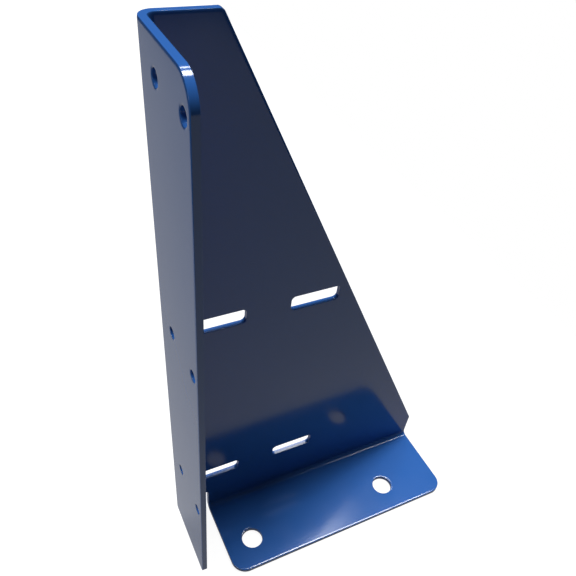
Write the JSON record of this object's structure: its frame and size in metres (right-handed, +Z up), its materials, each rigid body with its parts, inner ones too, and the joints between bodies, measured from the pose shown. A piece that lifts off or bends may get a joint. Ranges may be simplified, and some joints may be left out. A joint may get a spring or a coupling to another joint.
{
  "type": "stamped metal bracket",
  "caption": "Upright corner bracket folded from one steel sheet: a web with a sloping edge, a tall drilled side flange and a low drilled base flange, with slots in the web.",
  "frame": {"origin": "centre of the overall box, on the plane of the base flange's underside", "axes": "+Z up along the side flange, +X from the side flange towards the web's low end, +Y from the flanges' free edges towards the web's back face"},
  "size_m": [0.176, 0.053, 0.3],
  "materials": {
    "powder_coat": "glossy blue powder coat"
  },
  "bodies": {
    "root": {"bracket": "powder_coat"}
  },
  "joints": []
}
